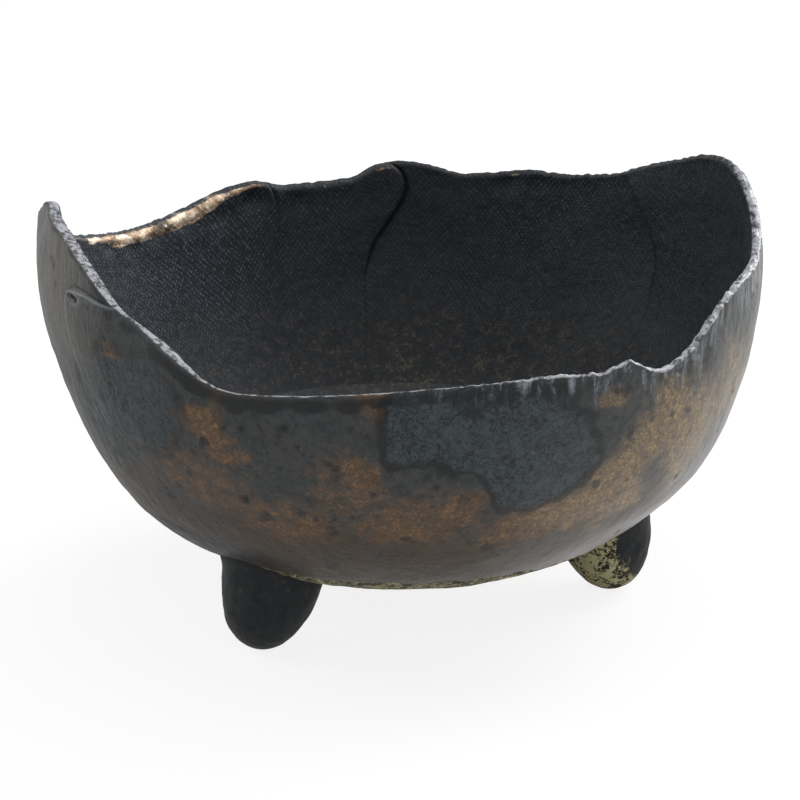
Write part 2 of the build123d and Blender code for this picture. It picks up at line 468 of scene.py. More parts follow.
# Where it turned to bronze.
bronzeSpots = [
    (239.5, 94, 4.5, 8, 1.0), (242, 85, 3.5, 6, 0.7), (265.3, 109, 3.6, 5.5, 0.95),
    (222.5, 112, 2.0, 5, 0.8), (218, 110, 1.4, 9, 0.45), (237, 70, 11, 15, 0.6),
    (250, 62, 12, 13, 0.55), (262, 80, 9, 13, 0.6), (274, 66, 14, 12, 0.62), (290, 58, 12, 9, 0.55),
    (307, 70, 9, 20, 0.85), (315, 88, 8, 17, 1.0), (324, 80, 9, 26, 0.9), (299, 62, 7, 10, 0.8),
    (335, 92, 12, 22, 0.6), (304, 103, 4, 5, 0.6), (352, 80, 12, 26, 0.65), (8, 66, 12, 12, 0.5),
    (40, 64, 16, 12, 0.6), (50, 82, 9, 12, 0.5), (62, 98, 8, 9, 0.55), (98, 64, 14, 12, 0.6),
    (106, 84, 8, 14, 0.5), (146, 66, 14, 14, 0.6), (154, 84, 9, 11, 0.5), (184, 64, 14, 14, 0.55),
    (190, 86, 6, 10, 0.45), (200, 118, 6, 16, 0.3),
]


# The curl of clay at the head of the left lap: a slot inside a raised lip, with painted shade in the
# slot and a painted highlight on the lip.
fold = {
    "azimuth": 212.6, "height": 124.2,
    "wide": 3.1, "tall": 1.35, "tilt": -0.12,
    "deep": 1.7, "lip": 0.75,
}


def foldDistance(points, azimuth):
    # distance from the fold's middle, 1 at the edge of its slot
    across = alongWall(fold["azimuth"], azimuth, bowl["bellyRadius"])
    up = points[..., 2] - fold["height"] - fold["tilt"] * across
    return np.hypot(across / fold["wide"], up / fold["tall"])


def outerRelief(points, azimuth, depth):
    # Heights along the outward normal: broad waves of the hand, lumps, fine grain, wrinkles in
    # the crawled patches, long strands on the left flank, flutes torn down from the rim, pits,
    # the fold's slot and lip.
    f = outerFace
    turned, raised = warped(points, azimuth, points[..., 2])
    relief = f["broad"] * rough(points, f["broadCell"], 21, 2) * ease(depth, 0, 10)
    relief = relief + f["lump"] * rough(points, f["lumpCell"], 25, 3)
    relief = relief + f["fine"] * rough(points, f["fineCell"], 31, 2)
    bent = points + 2.5 * lattice(points, 7.0, 37)[..., None]
    crease = 1 - 2 * np.abs(lattice(bent, f["wrinkleCell"], 35))
    relief = relief + f["wrinkle"] * crease * patches(slateSpots, turned, raised)
    wide, tall = f["strandCell"]
    around = np.radians(azimuth) * f["strandRadius"]
    unrolled = np.stack([around / wide, depth / tall, 0 * depth], -1)
    flank = bell(turnFrom(f["strandTurn"], azimuth), f["strandSpread"])
    relief = relief + f["strand"] * rough(unrolled, 1.0, 41, 2) * flank
    fluted = ease(np.cos(np.radians(azimuth - f["fluteTurn"])), *f["fluteSpread"])
    wide, tall = f["fluteCell"]
    around = np.radians(azimuth) * f["fluteRadius"]
    grooves = np.stack([around / wide, depth / tall, 0 * depth], -1)
    fade = fluted * np.exp(-depth / f["fluteDepth"])
    relief = relief + f["flute"] * rough(grooves, 1.0, 45, 2) * fade
    for centre, level, radius, deep in pitList:
        across = alongWall(centre, azimuth, pitRadius)
        away = np.hypot(across, points[..., 2] - level)
        lip = 0.25 * bell(away - 1.7 * radius, 0.6 * radius)
        relief = relief - deep * (bell(away, radius) - lip)
    away = foldDistance(points, azimuth)
    relief = relief - fold["deep"] * (1 - ease(away, 0.45, 0.95))
    relief = relief + fold["lip"] * bell(away - 1.3, 0.34)
    return relief + lapRelief("outer", azimuth, depth)


innerFace = {
    "pressCell": 26.0, "press": 0.7,
    "lumpCell": 9.0, "lump": 0.22,
    "fineCell": 2.4, "fine": 0.07,
}
# Finger presses just inside the rim: azimuth, millimetres below the rim, half width, depth.
pressRadius = 116  # the inner face's radius where they are
presses = [
    (117.5, 6.5, 4.5, 1.6), (124, 9, 6.0, 1.2), (139, 4.5, 4.0, 0.9), (146, 6, 5, 0.8),
    (152, 5, 4, 0.9), (109, 6, 5, 0.8), (70, 4.5, 4, 0.8), (64, 5, 4.5, 0.7), (60.5, 15, 7, 0.5),
    (132, 5, 3.5, 0.8),
]


def innerRelief(points, azimuth, depth):
    # Heights towards the hollow: broad presses, lumps and fine grain, then single finger presses.
    f = innerFace
    relief = f["press"] * rough(points, f["pressCell"], 51, 2) * ease(depth, 0, 14)
    relief = relief + f["lump"] * rough(points, f["lumpCell"], 54, 3)
    relief = relief + f["fine"] * rough(points, f["fineCell"], 58, 2)
    for centre, below, wide, deep in presses:
        across = alongWall(centre, azimuth, pressRadius)
        relief = relief - deep * bell(np.hypot(across, 1.2 * (depth - below)), wide)
    return relief + lapRelief("inner", azimuth, depth)


# Meshes.


def storeMesh(name, points, faces, values, flat=0):
    # points in millimetres; values are named numbers, one for each point; the last flat faces
    # are shaded flat, so that the shading of the faces beside them stays their own
    mesh = bpy.data.meshes.new(name)
    mesh.from_pydata((points * mm).tolist(), [], faces)
    mesh.update()
    mesh.polygons.foreach_set("use_smooth", np.arange(len(faces)) < len(faces) - flat)
    for key, value in values.items():
        attribute = mesh.attributes.new(key, "FLOAT", "POINT")
        attribute.data.foreach_set("value", np.ascontiguousarray(value, np.float32))
    piece = bpy.data.objects.new(name, mesh)
    bpy.context.scene.collection.objects.link(piece)
    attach(piece, rootBody)
    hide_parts(name.removesuffix("_clay"))
    print("made", name, "with", len(mesh.polygons), "faces")
    return piece


def quads(index, turned=False):
    # four corners of every cell of a grid of point numbers
    a, b, c, d = index[:-1, :-1], index[1:, :-1], index[1:, 1:], index[:-1, 1:]
    corners = (a, d, c, b) if turned else (a, b, c, d)
    return np.stack([k.ravel() for k in corners], 1).tolist()


slabGrid = {
    "edgeRows": 9, "wallRows": 118, "rowPower": 1.22,
    "column": 0.84, "endColumn": 0.22, "growth": 1.28,  # millimetres along the slab
}


def columnShares(length):
    # Shares from 0 to 1 along a slab: short steps at both ends that grow to an even step.
    steps = [slabGrid["endColumn"]]
    while steps[-1] * slabGrid["growth"] < slabGrid["column"]:
        steps.append(steps[-1] * slabGrid["growth"])
    middle = max(2, round((length - 2 * sum(steps)) / slabGrid["column"]))
    even = [(length - 2 * sum(steps)) / middle] * middle
    places = np.concatenate([[0], np.cumsum(steps + even + steps[::-1])])
    return places / places[-1]


def depthRows(azimuth, lowArc):
    # Depth below the rim and half thickness, for each row at this azimuth. Over the rim the two
    # follow a quarter ellipse; below, depth grows by a power and the wall reaches full thickness.
    edge = np.linspace(0, math.pi / 2, slabGrid["edgeRows"])[1:]
    share = np.linspace(0, 1, slabGrid["wallRows"] + 1)[1:] ** slabGrid["rowPower"]
    shape = (-1,) + (1,) * np.ndim(azimuth)
    if np.ndim(azimuth) == 2:  # one azimuth for each row and column
        top, under = azimuth[: edge.size], azimuth[edge.size:]
        shape = (-1, 1)
    else:
        top = under = azimuth
    rounding = rimAt(top, 2)
    depthTop = rounding * (1 - np.cos(edge.reshape(shape)))
    halfTop = rimAt(top, 1) / 2 * np.sin(edge.reshape(shape))
    rounding = rimAt(under, 2)
    reach = rimArc(under) - lowArc
    depthUnder = rounding + (reach - rounding) * share.reshape(shape)
    thin = rimAt(under, 1)
    grown = ease(depthUnder - rounding, 0, rimShape["taper"])
    halfUnder = (thin + (bowl["wall"] - thin) * grown) / 2
    return np.concatenate([depthTop, depthUnder]), np.concatenate([halfTop, halfUnder])


def slabFace(side, first, last, shares, lowArc):
    # One face of a slab as a grid, rows down from the rim and columns from joint to joint. Both
    # of a joint's slabs work out its edge alike, so their edges meet point for point.
    starts = edgeAngle(first, side, depthRows(np.array(float(first["angle"])), lowArc)[0])
    ends = edgeAngle(last, side, depthRows(np.array(float(last["angle"])), lowArc)[0])
    ends = ends + 360 * (last["angle"] < first["angle"])
    azimuth = starts[:, None] * (1 - shares) + ends[:, None] * shares
    depth, half = depthRows(azimuth, lowArc)
    outwards = 1 if side == "outer" else -1
    base, normal = onShell(rimArc(azimuth) - depth, azimuth, bowl["wall"] / 2 - outwards * half)
    base = base + fullness(azimuth, base[..., 2])[..., None] * normal
    relief = outerRelief if side == "outer" else innerRelief
    fade = half / (bowl["wall"] / 2)
    height = relief(base, azimuth, depth) * np.clip(fade * 1.6, 0.25, 1)
    # torn clay stands up and pits down on the edge itself, along the meridian
    torn = rimShape["crumb"] * rough(base, rimShape["crumbCell"], 81, 2)
    torn = torn * np.exp(-depth / rimShape["crumbDepth"])
    upwards = np.stack([0 * depth, 0 * depth, np.ones(depth.shape)], -1)
    points = base + outwards * height[..., None] * normal
    return points + (torn * rimAt(azimuth, 3) * 2)[..., None] * upwards, azimuth, depth


def slab(name, first, last):
    # A wall slab is a closed ring of rows, outer face, ridge and inner face, carried from one
    # joint to the other, with its foot and both ends closed by strips.
    first, last = joints[first], joints[last]
    turn = (last["angle"] - first["angle"]) % 360
    shares = columnShares(math.radians(turn) * bowl["bellyRadius"])
    outerLow = arcAtRadius(bowl["floorRadius"])
    innerLow = arcAtRadius(bowl["innerFloorRadius"])
    outer, outerTurn, outerDepth = slabFace("outer", first, last, shares, outerLow)
    inner, innerTurn, innerDepth = slabFace("inner", first, last, shares, innerLow)
    ridge = (outer[0] + inner[0]) / 2
    rise = 0.12 * rimAt(outerTurn[0], 2)
    ridge = ridge + np.stack([0 * rise, 0 * rise, rise], -1)
    ring = np.concatenate([outer[::-1], ridge[None], inner])
    rows, columns = ring.shape[:2]
    index = np.arange(rows * columns).reshape(rows, columns)
    faces = quads(index, True)
    smooth = len(faces)
    faces += quads(np.stack([index[-1], index[0]]), True)  # the foot
    half = rows // 2
    for column, turned in ((0, True), (columns - 1, False)):
        strip = np.stack([index[:half, column], index[rows - 1:half:-1, column]])
        faces += quads(strip, turned)
        tip = [index[half - 1, column], index[half, column], index[half + 1, column]]
        faces.append([int(k) for k in (tip if turned else tip[::-1])])
    turns = np.concatenate([outerTurn[::-1], outerTurn[:1], innerTurn])
    depths = np.concatenate([outerDepth[::-1], 0 * outerDepth[:1], innerDepth])
    faceSides = [np.ones(outerTurn.shape), np.full((1, columns), 0.5), np.zeros(innerTurn.shape)]
    values = surfaceValues(ring, turns, depths, np.concatenate(faceSides))
    flat = len(faces) - smooth
    return storeMesh(name + "_clay", ring.reshape(-1, 3), faces, values, flat)


# Around the bowl, as (azimuth, value) pairs: how strongly the torn edge shows pale, partly its own
# colour and partly a painted highlight on the rim's top, and how far down, how bronze the rolled rim
# is, how dark the band under the rim (pooled glaze and painted shade under the lip) and the one low
# down are, how far the flutes under the rim are darkened and given painted sheen and how far down,
# how smooth and how glossy it is, how much painted sheen the tip gets outside, and how much painted
# light falls on the hollow.
edgePale = [
    (150, 0.1), (172, 0.5), (186, 0.9), (222, 1), (226, 0.7), (238, 1), (246, 0.75), (256, 0.6),
    (284, 0.5), (292, 0.95), (312, 1), (335, 1), (350, 0.85), (365, 0.55), (380, 0.15), (420, 0.1),
    (500, 0.1),
]
edgeWidth = [
    (0, 0.8), (40, 0.5), (160, 0.5), (185, 0.3), (222, 0.25), (240, 0.16), (284, 0.16), (291, 0.55),
    (306, 0.5), (314, 0.9), (350, 1.1),
]
rolledGold = [
    (58, 0), (61, 0.45), (66, 0.4), (73, 0.3), (76, 0), (88, 0), (91, 0.5), (95, 0.35), (98, 0.1),
    (102, 0.35), (108, 0.1), (114, 0.15), (116, 0.6), (121, 0.75), (126, 1), (150, 1), (158, 0.8),
    (166, 0.3), (172, 0), (400, 0),
]
darkRim = [(206, 0), (214, 0.5), (226, 0.9), (238, 1), (292, 1), (303, 0.6), (312, 0.1), (560, 0)]
darkLow = [(150, 0.3), (190, 0.7), (215, 1), (240, 0.8), (256, 0), (330, 0), (355, 0.5), (500, 0.3)]
sheenStreaked = [
    (268, 0), (278, 0.6), (288, 1), (304, 1), (316, 0.8), (350, 0.9), (368, 0.5), (395, 0), (620, 0),
]
smoothGlaze = [
    (0, 0.9), (40, 0.6), (110, 0.5), (170, 0.25), (205, 0.1), (232, 0.25), (255, 0.5), (280, 0.6),
    (300, 0.8), (345, 1),
]
streakReach = [(20, 14), (285, 6), (306, 7), (320, 13), (350, 20)]
gloss = [
    (0, 0.9), (30, 0.4), (60, 0.15), (180, 0.15), (215, 0.03), (284, 0.05), (298, 0.45), (312, 0.8),
    (330, 1),
]
tipSheen = [(160, 0), (185, 0.7), (200, 1), (211, 0.9), (221, 0), (520, 0)]
hollowLighting = [
    (0, 0.1), (60, 0.12), (95, 0.15), (113, 0.35), (130, 0.9), (160, 1), (200, 0.9), (245, 0.8),
    (268, 0.4), (300, 0.15),
]
# Middles of the fingerprints in the hollow: azimuth, height; and the radius they are on.
swirls = [(60.5, 102), (42.5, 111)]
swirlRadius = 114


def aroundBowl(pairs, azimuth):
    table = np.array(pairs, float)
    return np.interp(azimuth, table[:, 0], table[:, 1], period=360)


def fromSwirl(azimuth, height):
    # distance to the nearest fingerprint's middle, in millimetres
    away = [np.hypot(alongWall(c, azimuth, swirlRadius), height - z) for c, z in swirls]
    return np.minimum.reduce(away)


def pitDarkness(azimuth, height):
    # 1 in the middle of each pit, for the painted shade in the pits
    dark = np.zeros(azimuth.shape)
    for centre, level, radius, deep in pitList:
        across = alongWall(centre, azimuth, pitRadius)
        away = np.hypot(across, height - level)
        dark = np.maximum(dark, bell(away, 1.05 * radius) * min(1, 1.3 * deep + 0.2))
    return dark


def surfaceValues(points, azimuth, depth, outside):
    # What the glaze is made of at each point, for the material to read.
    height = points[..., 2]
    turned, raised = warped(points, azimuth, height)
    slate = patches(slateSpots, turned, raised)
    wider = [(c, z, 1.07 * wide, 1.07 * tall, s) for c, z, wide, tall, s in slateSpots]
    outline = patches(wider, turned, raised, 0.9, 1.1)
    radius = np.hypot(points[..., 0], points[..., 1])
    uneven = rough(points, 6.0, 97, 2)
    edge = np.exp(-((depth / aroundBowl(edgeWidth, azimuth)) ** 2))
    rolled = ease(1.75 * rimAt(azimuth, 2) - depth + 1.4 * rough(points, 5.0, 95, 2), 0, 2.6)
    rolled = rolled * (0.25 + 0.75 * ease(depth, 0.3, 1.3))
    # a band below the rim of pooled glaze and painted shade under the rolled lip
    poolAndShade = np.clip(bell(depth - 3.2 - 1.5 * uneven, 2.8) * (0.85 + uneven), 0, 1)
    poolAndShade = poolAndShade * aroundBowl(darkRim, azimuth)
    nearTip = ease(bell(turnFrom(206, azimuth), 16), 0.3, 0.5)
    tipEdge = bell(depth - 0.9, 0.8) * (0.5 + uneven) * nearTip
    lowBand = bell(radius - 92 - 2.5 * uneven, 6.5) * aroundBowl(darkLow, azimuth)
    # painted shade in the fold's slot
    slotShade = 1 - ease(foldDistance(points, azimuth), 0.6, 1.0)
    # painted highlight along the outer laps' raised edges and, below, on the fold's lip
    ridge = lapEdgeLightAndShade("outer", azimuth, depth, 0.9, 0.8)
    lip = bell(foldDistance(points, azimuth) - 1.35, 0.3)
    values = {
        "outside": outside,
        "below": depth,
        "around": azimuth * math.pi / 180 * bowl["bellyRadius"],
        "pale": edge * aroundBowl(edgePale, azimuth),
        "gold": rolled * aroundBowl(rolledGold, turned),
        "poolAndShade": np.maximum(poolAndShade, lowBand) + slotShade + tipEdge,
        "pitShade": pitDarkness(azimuth, height) * (outside > 0.6),
        "sheenStreak": aroundBowl(sheenStreaked, azimuth) * np.exp(-depth / aroundBowl(streakReach, azimuth)),
        "worn": np.maximum(ridge, 0.8 * lip),
        "shade": lapEdgeLightAndShade("inner", azimuth, depth, -0.7, 1.0),
        "slate": slate,
        "slateEdge": np.clip(outline - slate, 0, 1),
        "bronze": patches(bronzeSpots, turned, raised, 0.35, 1.25),
        "bare": 1 - ease(radius + 2.5 * rough(points, 6.0, 91, 3), 80, 88),
        "smooth": aroundBowl(smoothGlaze, azimuth),
        "gloss": aroundBowl(gloss, turned) * (1 - 0.6 * ease(height, 60, 95)),
        "pearl": aroundBowl(tipSheen, turned) * ease(height, 88, 112),
        "hollowLight": aroundBowl(hollowLighting, turned),
        "swirl": fromSwirl(azimuth, height),
        "low": 1 - ease(raised, 40, 84),
    }
    return {key: value.ravel() for key, value in values.items()}


slabs = {
    "wall_front": ("tipFront", "frontRight"),
    "wall_right": ("frontRight", "rightBack"),
    "wall_back": ("rightBack", "backLeft"),
    "wall_back_left": ("backLeft", "leftInner"),
    "wall_left": ("leftInner", "leftTip"),
    "wall_tip": ("leftTip", "tipFront"),
}
pieces = {name: slab(name, first, last) for name, (first, last) in slabs.items()}


# The floor.

floorShape = {
    "lapRadius": 92.0, "step": 0.5, "feather": 9,
    "sink": 0.35, "sinkFade": 12,  # how far the underside is drawn in at its edge, over what width
    "rows": 104, "columns": 400, "edgeRows": 10,
}


def floorDisc():
    # The floor is one profile carried round the axis: from the middle of the hollow out over the
    # walls' feet, where its edge is feathered, back through the wall and in along the underside.
    f = floorShape
    wall = bowl["wall"]
    lapArc = arcAtRadius(f["lapRadius"])
    edgeArc = arcAtRadius(bowl["floorRadius"])
    out = np.linspace(0, 1, f["rows"])[1:] * lapArc
    feather = ease(out, lapArc - f["feather"], lapArc)
    topInset = wall + f["step"] * (1 - feather) - 0.5 * feather
    back = np.linspace(lapArc, edgeArc, f["edgeRows"])[1:]
    backInset = np.linspace(wall - 0.5, f["sink"] + 0.4, f["edgeRows"])[1:]
    under = np.linspace(1, 0, f["rows"])[1:-1] * edgeArc
    underInset = f["sink"] * ease(under, edgeArc - f["sinkFade"], edgeArc)
    arc = np.concatenate([[0.0], out, back, under, [0.0]])
    inset = np.concatenate([[wall + f["step"]], topInset, backInset, underInset, [0.0]])
    outside = (np.arange(arc.size) > out.size).astype(float)
    azimuth = np.arange(f["columns"]) * 360 / f["columns"] + np.zeros((arc.size, 1))
    grid = arc[:, None] + 0 * azimuth
    base, normal = onShell(grid, azimuth, inset[:, None] + 0 * azimuth)
    deep = np.full(grid.shape, 90.0)
    side = outside[:, None] + 0 * azimuth
    height = np.where(side > 0.5, outerRelief(base, azimuth, deep), -innerRelief(base, azimuth, deep))
    points = base + height[..., None] * normal
    values = surfaceValues(points, azimuth, deep, side)
    count = f["columns"]
    inner = np.arange((arc.size - 2) * count).reshape(arc.size - 2, count) + 1
    wrapped = np.concatenate([inner, inner[:, :1]], axis=1)
    faces = quads(wrapped)
    last = inner.size + 1
    faces += [[0, int(a), int(b)] for a, b in zip(wrapped[0, :-1], wrapped[0, 1:])]
    faces += [[last, int(b), int(a)] for a, b in zip(wrapped[-1, :-1], wrapped[-1, 1:])]
    flat = np.concatenate([points[0, :1], points[1:-1].reshape(-1, 3), points[-1, :1]])
    grids = {key: value.reshape(grid.shape) for key, value in values.items()}
    single = {key: np.concatenate([v[0, :1], v[1:-1].ravel(), v[-1, :1]]) for key, v in grids.items()}
    return storeMesh("floor_disc_clay", flat, faces, single)


pieces["floor_disc"] = floorDisc()

# The feet.

footShape = {
    "circle": 72.0, "lean": 2.0, "radius": 17.0,
    "worn": 0.35,  # flat under the foot
    "embed": 2.2,  # how far its top goes into the wall
    "flare": 0.9, "flareReach": 2.2,  # the clay smeared out at the joint
    "rows": 70, "columns": 150, "neckRows": 16,
}
# Each foot: its azimuth, how much its outer side bulges, how it is stretched sideways, how far
# its top leans over, and how much of it is bare clay.
feet = {
    "foot_front": {
        "azimuth": 231.0, "bulge": 0.0, "wide": 1.0,
        "lean": (2.4, 0.6), "bare": -0.25, "seed": 101,
    },
    "foot_right": {
        "azimuth": 356.0, "bulge": 0.0, "wide": 1.0,
        "lean": (-1.6, 0.0), "bare": 0.45, "seed": 131,
    },
    "foot_back": {
        "azimuth": 113.0, "bulge": 0.04, "wide": 0.98,
        "lean": (0.5, -0.5), "bare": 0.0, "seed": 161,
    },
}


def underside(radius):
    # height of the bowl's outer surface above the table at this radius
    return np.interp(arcAtRadius(radius), meridian["arc"], meridian["height"])


def foot(name, own):
    # A quarter ellipse turned round a leaning axis: z = h (1 - cos b), r = R sin b, worn flat at
    # the bottom, then carried straight up into the wall and closed there.
    f = footShape
    around = np.radians(own["azimuth"])
    out = np.array([math.cos(around), math.sin(around)])
    side = np.array([-out[1], out[0]])
    tall = float(underside(f["circle"]))
    turn = np.arange(f["columns"]) * 2 * math.pi / f["columns"]
    lift = np.linspace(0, math.pi / 2, f["rows"])[1:]
    radius = f["radius"] * np.sin(lift)
    height = np.maximum(tall * (1 - np.cos(lift)) - f["worn"], 0)
    centre = f["circle"] - f["lean"] * height / tall
    swell = 1 + own["bulge"] * np.cos(turn) * np.sin(2 * lift)[:, None]
    reach = centre[:, None] + radius[:, None] * swell * np.cos(turn)
    across = own["wide"] * radius[:, None] * np.sin(turn)
    lean = ease(height, 0, tall)[:, None, None] * np.array(own["lean"])
    flat = reach[..., None] * out + across[..., None] * side + lean
    level = height[:, None] + 0 * turn
    points = np.concatenate([flat, level[..., None]], -1)
    flatBulk = np.cos(turn)[:, None] * out + np.sin(turn)[:, None] * side
    bulk = np.concatenate([flatBulk, np.zeros((turn.size, 1))], -1)
    relief = 0.7 * rough(points, 11.0, own["seed"], 3) + 0.16 * rough(points, 2.6, own["seed"] + 7, 3)
    raised = ease(level, 0.0, 3.0)
    points = points + (relief * (0.15 + 0.85 * raised))[..., None] * bulk
    # the last rows climb to the bowl and a little way into it
    rise = np.linspace(0, 1, f["neckRows"])[1:, None]
    rim = points[-1]
    top = underside(np.hypot(rim[:, 0], rim[:, 1])) + f["embed"]
    climb = rim[:, 2] + (top - rim[:, 2]) * rise
    neck = np.stack([rim[:, 0] + 0 * rise, rim[:, 1] + 0 * rise, climb], -1)
    gap = underside(np.hypot(neck[..., 0], neck[..., 1])) - neck[..., 2]
    flare = f["flare"] * bell(gap, f["flareReach"]) + 0.35 * rough(neck, 3.0, own["seed"] + 3, 2)
    neck = neck + (flare * rise)[..., None] * bulk
    grid = np.concatenate([points, neck])
    index = np.arange(grid.shape[0] * turn.size).reshape(grid.shape[0], turn.size) + 1
    wrapped = np.concatenate([index, index[:, :1]], axis=1)
    faces = quads(wrapped, True)
    last = index.size + 1
    faces += [[0, int(b), int(a)] for a, b in zip(wrapped[0, :-1], wrapped[0, 1:])]
    faces += [[last, int(a), int(b)] for a, b in zip(wrapped[-1, :-1], wrapped[-1, 1:])]
    middle = np.append((f["circle"] - f["lean"]) * out + own["lean"], tall + f["embed"])
    start = np.append(f["circle"] * out, 0.0)
    everything = np.concatenate([start[None], grid.reshape(-1, 3), middle[None]])
    inwards = -((everything[:, :2] @ out) - f["circle"]) / f["radius"]
    toBowl = underside(np.hypot(everything[:, 0], everything[:, 1])) - everything[:, 2]
    noisy = 0.35 * rough(everything, 7.0, own["seed"] + 11, 3)
    values = {
        "outside": np.ones(inwards.shape),
        "bare": ease(own["bare"] + inwards + 0.35 * (1 - everything[:, 2] / tall) + noisy, 0.05, 0.75),
        "seam": bell(toBowl, 2.0),
    }
    return storeMesh(name + "_clay", everything, faces, values)


for name, own in feet.items():
    pieces[name] = foot(name, own)
print("all pieces made")

# Shader maths.


class Wire:
    # One socket; arithmetic on it adds Math nodes to its tree.
    def __init__(self, tree, socket):
        self.tree = tree
        self.socket = socket

    def _maths(self, operation, first, second=None):
        node = self.tree.nodes.new("ShaderNodeMath")
        node.operation = operation
        for place, value in enumerate((first, second)):
            if isinstance(value, Wire):
                self.tree.links.new(value.socket, node.inputs[place])
            elif value is not None:
                node.inputs[place].default_value = value
        return Wire(self.tree, node.outputs[0])

    def __add__(self, other):
        return self._maths("ADD", self, other)

    def __sub__(self, other):
        return self._maths("SUBTRACT", self, other)

    def __rsub__(self, other):
        return self._maths("SUBTRACT", other, self)

    def __mul__(self, other):
        return self._maths("MULTIPLY", self, other)

    def __truediv__(self, other):
        return self._maths("DIVIDE", self, other)

    def most(self, other):
        return self._maths("MAXIMUM", self, other)

    def least(self, other):
        return self._maths("MINIMUM", self, other)

    def absolute(self):
        return self._maths("ABSOLUTE", self)

    def sine(self):
        return self._maths("SINE", self)

    __radd__ = __add__
    __rmul__ = __mul__


class Recipe:
    # A node tree with its end node. One method adds any node, and a few name the common ones.
    def __init__(self, owner, end="ShaderNodeOutputMaterial"):
        owner.use_nodes = True
        self.owner = owner
        self.tree = owner.node_tree
        self.tree.nodes.clear()
        self.end = self.tree.nodes.new(end)
        self.place = None

    def node(self, kind, settings, inputs, output=0):
        # settings first, then the values or links of the sockets, by name or by number;
        # returns the output asked for
        made = self.tree.nodes.new(kind)
        for key, value in settings.items():
            setattr(made, key, value)
        sockets = {}
        for socket in made.inputs:
            if socket.enabled:
                sockets.setdefault(socket.name, socket)
        for key, value in inputs.items():
            socket = made.inputs[key] if isinstance(key, int) else sockets[key]
            if isinstance(value, Wire):
                self.tree.links.new(value.socket, socket)
            else:
                socket.default_value = value
        outputs = {socket.name: socket for socket in made.outputs if socket.enabled}
        return Wire(self.tree, outputs[output] if isinstance(output, str) else made.outputs[output])

    def value(self, name):
        return self.node("ShaderNodeAttribute", {"attribute_name": name}, {}, "Fac")

    def noise(self, scale, detail=4.0, roughness=0.55, distortion=0.0, place=None):
        # read at the object's own coordinates, in metres, where no other place is given
        if place is None:
            self.place = self.place or self.node("ShaderNodeTexCoord", {}, {}, "Object")
            place = self.place
        inputs = {"Vector": place, "Scale": scale, "Detail": detail}
        inputs.update({"Roughness": roughness, "Distortion": distortion})
        return self.node("ShaderNodeTexNoise", {}, inputs, "Fac")

    def between(self, value, low, high):
        # smoothstep from 0 at low to 1 at high
        settings = {"interpolation_type": "SMOOTHSTEP"}
        inputs = {"Value": value, "From Min": low, "From Max": high}
        return self.node("ShaderNodeMapRange", settings, inputs)

    def mix(self, share, first, second):
        # the first colour where share is 0, the second where it is 1
        inputs = {"Factor": share}
        for key, colour in (("A", first), ("B", second)):
            inputs[key] = colour if isinstance(colour, Wire) else (*colour, 1)
        return self.node("ShaderNodeMix", {"data_type": "RGBA"}, inputs, "Result")

    def bump(self, height, distance, strength=1.0, below=None):
        inputs = {"Height": height, "Distance": distance, "Strength": strength}
        if below is not None:
            inputs["Normal"] = below
        return self.node("ShaderNodeBump", {}, inputs, "Normal")

    def close(self, shader):
        self.tree.links.new(shader.socket, self.end.inputs[0])

    def finish(self, colour, roughness, metallic, normal, others):
        # closes a material with its one shader; others are the shader's further sockets
        inputs = {"Base Color": colour, "Roughness": roughness, "Metallic": metallic, "Normal": normal}
        self.close(self.node("ShaderNodeBsdfPrincipled", {}, {**inputs, **others}, "BSDF"))
        return self.owner


# Finishes.

glaze = {
    "ink": (0.012, 0.013, 0.014),
    "slateGrey": (0.038, 0.042, 0.043),
    "umber": (0.052, 0.036, 0.025),
    "olive": (0.040, 0.031, 0.021),
    "bronze": (0.118, 0.070, 0.039),
    "bronzeGrain": (0.27, 0.145, 0.066),
    "litBronze": (0.215, 0.160, 0.095),
    "litBronzeGrain": (0.45, 0.305, 0.130),
    "crawlLight": (0.042, 0.052, 0.057),
    "crawlDark": (0.008, 0.010, 0.012),
    "pearl": (0.105, 0.099, 0.087),
    "sheenStreak": (0.21, 0.23, 0.26),
    "insideDark": (0.005, 0.006, 0.0075),
    "insideMid": (0.024, 0.029, 0.036),
    "insideLight": (0.092, 0.102, 0.120),
    "speckle": (0.115, 0.090, 0.050),
    "paleEdge": (0.30, 0.31, 0.335),
    "edgePit": (0.035, 0.036, 0.040),
    "goldRim": (0.36, 0.255, 0.170),
    "goldGlint": (0.74, 0.63, 0.50),
    "goldDark": (0.060, 0.048, 0.038),
    "bareClay": (0.34, 0.31, 0.175),
    "bareDark": (0.014, 0.014, 0.013),
    "lapShadow": (0.003, 0.003, 0.003),
    "footGrey": (0.020, 0.022, 0.024),
}


def bareClay(r, flecks):
    # unglazed olive clay under broken dark flecks; flecks says how much of it they cover
    grain = r.noise(1000, 4, 0.65) * 0.6 + r.noise(260, 3, 0.6, 0.6) * 0.5
    return r.mix(r.between(grain, flecks - 0.05, flecks + 0.05), glaze["bareDark"], glaze["bareClay"])


def drawnDown(r, across, along, drift):
    # noise in millimetre cells, across wide and along tall, that follows the rim and wavers
    waver = (r.noise(28, 2, 0.5) - 0.5) * drift
    inputs = {"X": r.value("around") / across + waver, "Y": r.value("below") / along, "Z": waver}
    return r.noise(1.0, 4, 0.62, 0.0, r.node("ShaderNodeCombineXYZ", {}, inputs, 0))


def threads(r, scale, twist):
    # 0 along thin winding lines, 1 between them: how far a twisted noise is from its middle
    return r.between((r.noise(scale, 2, 0.5, twist) - 0.5).absolute(), 0.0, 0.06)


